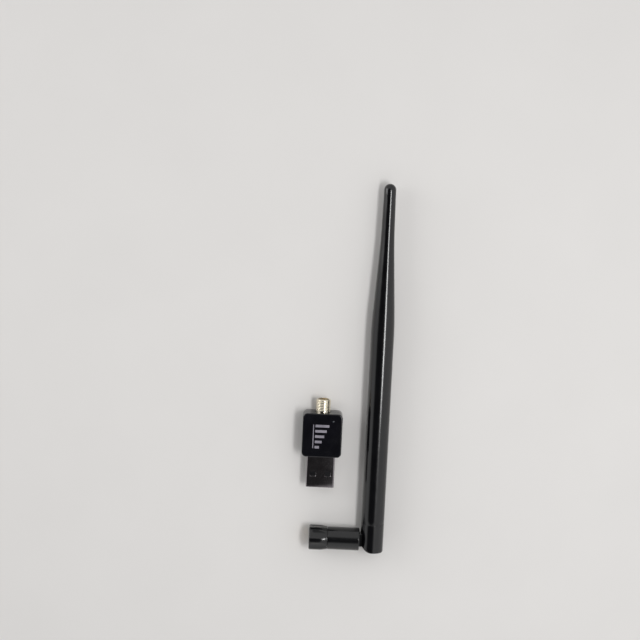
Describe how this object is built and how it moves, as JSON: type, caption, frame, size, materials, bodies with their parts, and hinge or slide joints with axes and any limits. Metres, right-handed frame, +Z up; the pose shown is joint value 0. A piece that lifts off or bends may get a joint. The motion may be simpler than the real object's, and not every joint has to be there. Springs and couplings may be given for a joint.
{
  "type": "usb wifi adapter",
  "caption": "USB plug-in wireless network adapter with a threaded antenna jack, and its unscrewed stick antenna with a folding elbow and a spinning threaded coupling.",
  "frame": {"origin": "middle of the layout's footprint, on the surface that both pieces lie on", "axes": "+Y along the mast, from its hinge to its tip, and from the USB plug to the antenna jack; +Z up; +X from the dongle to the antenna"},
  "size_m": [0.037, 0.1584, 0.0107],
  "materials": {
    "black_abs": "satin-gloss moulded ABS",
    "solder_mask": "green solder mask",
    "chip_epoxy": "moulded epoxy",
    "can_metal": "stamped can",
    "capacitor_ceramic": "fired ceramic",
    "resistor_ceramic": "glazed ceramic",
    "led_lens": "clear lens",
    "light_pipe": "smoked acrylic",
    "nickel_plate": "nickel plate",
    "tongue_plastic": "moulded",
    "gold_plate": "thin gold plate",
    "jack_gold": "pale gold plate",
    "ptfe": "turned PTFE",
    "antenna_black": "satin-gloss moulded plastic",
    "brass": "turned brass",
    "spring_steel": "spring steel",
    "coax_jacket": "brown FEP jacket",
    "pin_nylon": "moulded nylon",
    "copper": "drawn copper",
    "spacer_plastic": "foamed plastic"
  },
  "bodies": {
    "dongle": {"housing_top": "black_abs", "housing_bottom": "black_abs", "circuit_board": "solder_mask", "wifi_chip": "chip_epoxy", "crystal_can": "can_metal", "chip_capacitors": "capacitor_ceramic", "chip_resistors": "resistor_ceramic", "status_led": "led_lens", "led_window": "light_pipe", "usb_shell": "nickel_plate", "usb_tongue": "tongue_plastic", "usb_contacts": "gold_plate", "sma_jack_body": "jack_gold", "sma_jack_dielectric": "ptfe", "sma_jack_pin": "gold_plate"},
    "antenna_base": {"knuckle": "antenna_black", "connector_barrel": "brass", "connector_dielectric": "ptfe", "connector_socket": "gold_plate", "retaining_ring": "spring_steel", "feed_coax_base": "coax_jacket"},
    "coupling": {"coupling_grip": "antenna_black", "coupling_nut": "brass"},
    "mast": {"mast_radome": "antenna_black", "mast_fork": "antenna_black", "hinge_pins": "pin_nylon", "feed_coax_mast": "coax_jacket", "dipole_sleeve": "copper", "radiator_wire": "copper", "centering_spacers": "spacer_plastic"}
  },
  "joints": [
    {"name": "antenna_lift", "type": "slide", "parent": "dongle", "child": "antenna_base", "axis": [0, 0, 1], "range_m": [0, 0.04]},
    {"name": "mast_fold", "type": "hinge", "parent": "antenna_base", "child": "mast", "pos_m": [0.01358, -0.07422, 0.00535], "axis": [0, 0, 1], "range_deg": [-90, 0]},
    {"name": "coupling_spin", "type": "hinge", "parent": "antenna_base", "child": "coupling", "pos_m": [-0.00972, -0.07422, 0.00535], "axis": [1, 0, 0], "continuous": true}
  ]
}
